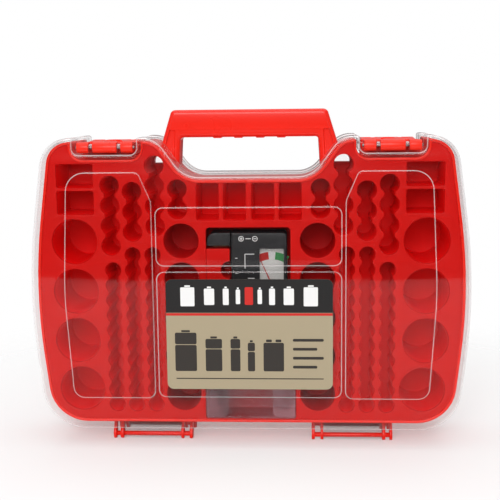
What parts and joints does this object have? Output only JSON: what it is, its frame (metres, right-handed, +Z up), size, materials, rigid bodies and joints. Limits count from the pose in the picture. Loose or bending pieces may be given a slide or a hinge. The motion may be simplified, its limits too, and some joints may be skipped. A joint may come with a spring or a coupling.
{
  "type": "battery storage drawer case",
  "caption": "Double-sided carrying case for batteries: red body with a fixed handle, wells for round and square cells, clear lids front and rear, latches, a clear bin and a pocketed tester.",
  "frame": {"origin": "middle of the case at the table, under the hinge ears it stands on", "axes": "+Z up, front with the wells and the tester towards -Y, +X to the right seen from the front"},
  "size_m": [0.3426, 0.0767, 0.2676],
  "materials": {
    "case_red": "smooth moulded red plastic",
    "well_red": "smooth moulded red plastic, deep in the case",
    "clear": "clear moulded plastic",
    "latch_red": "smooth moulded red plastic",
    "steel": "drawn steel",
    "brass": "sprung contact strip",
    "tester_black": "fine-grained black plastic",
    "label": "printed film",
    "dial": "printed card",
    "needle": "painted strip"
  },
  "bodies": {
    "case": {"case_body": "case_red", "front_deck": "case_red", "d_cell_cups": "well_red", "c_cell_cups": "well_red", "aa_cell_racks": "well_red", "aaa_cell_racks": "well_red", "nine_volt_cups": "well_red", "centre_tray": "case_red"},
    "front_lid": {"front_lid": "clear", "label": "label", "front_latch_pins": "steel"},
    "rear_lid": {"rear_lid": "clear", "rear_latch_pins": "steel"},
    "front_right_latch": {"front_right_latch": "latch_red"},
    "front_left_latch": {"front_left_latch": "latch_red"},
    "rear_right_latch": {"rear_right_latch": "latch_red"},
    "rear_left_latch": {"rear_left_latch": "latch_red"},
    "bin": {"button_cell_bin": "clear"},
    "tester": {"tester_front_shell": "tester_black", "tester_rear_shell": "tester_black", "tester_screws": "steel", "foot_contact": "brass", "meter_window": "clear", "meter_dial": "dial", "needle_pivot": "steel"},
    "jaw": {"tester_jaw": "tester_black", "jaw_contact": "brass"},
    "needle": {"meter_needle": "needle"}
  },
  "joints": [
    {"name": "front_lid_hinge", "type": "hinge", "parent": "case", "child": "front_lid", "pos_m": [0, -0.0135, 0.004], "axis": [1, 0, 0], "range_deg": [0, 105]},
    {"name": "rear_lid_hinge", "type": "hinge", "parent": "case", "child": "rear_lid", "pos_m": [0, 0.0135, 0.004], "axis": [-1, 0, 0], "range_deg": [0, 105]},
    {"name": "front_right_latch_hinge", "type": "hinge", "parent": "front_lid", "child": "front_right_latch", "pos_m": [0.1104, -0.031, 0.2396], "axis": [1, 0, 0], "range_deg": [0, 70]},
    {"name": "front_left_latch_hinge", "type": "hinge", "parent": "front_lid", "child": "front_left_latch", "pos_m": [-0.1104, -0.031, 0.2396], "axis": [1, 0, 0], "range_deg": [0, 70]},
    {"name": "rear_right_latch_hinge", "type": "hinge", "parent": "rear_lid", "child": "rear_right_latch", "pos_m": [0.1104, 0.031, 0.2396], "axis": [-1, 0, 0], "range_deg": [0, 70]},
    {"name": "rear_left_latch_hinge", "type": "hinge", "parent": "rear_lid", "child": "rear_left_latch", "pos_m": [-0.1104, 0.031, 0.2396], "axis": [-1, 0, 0], "range_deg": [0, 70]},
    {"name": "bin_lift", "type": "slide", "parent": "case", "child": "bin", "axis": [0, -1, 0], "range_m": [0, 0.004]},
    {"name": "tester_lift", "type": "slide", "parent": "case", "child": "tester", "axis": [0, -1, 0], "range_m": [0, 0.004]},
    {"name": "jaw_slide", "type": "slide", "parent": "tester", "child": "jaw", "axis": [0, 0, 1], "range_m": [0, 0.0025]},
    {"name": "needle_turn", "type": "hinge", "parent": "tester", "child": "needle", "pos_m": [0.0174, 0, 0.1305], "axis": [0, 1, 0], "range_deg": [0, 44], "stiffness_Nm_per_rad": 0.00002}
  ]
}
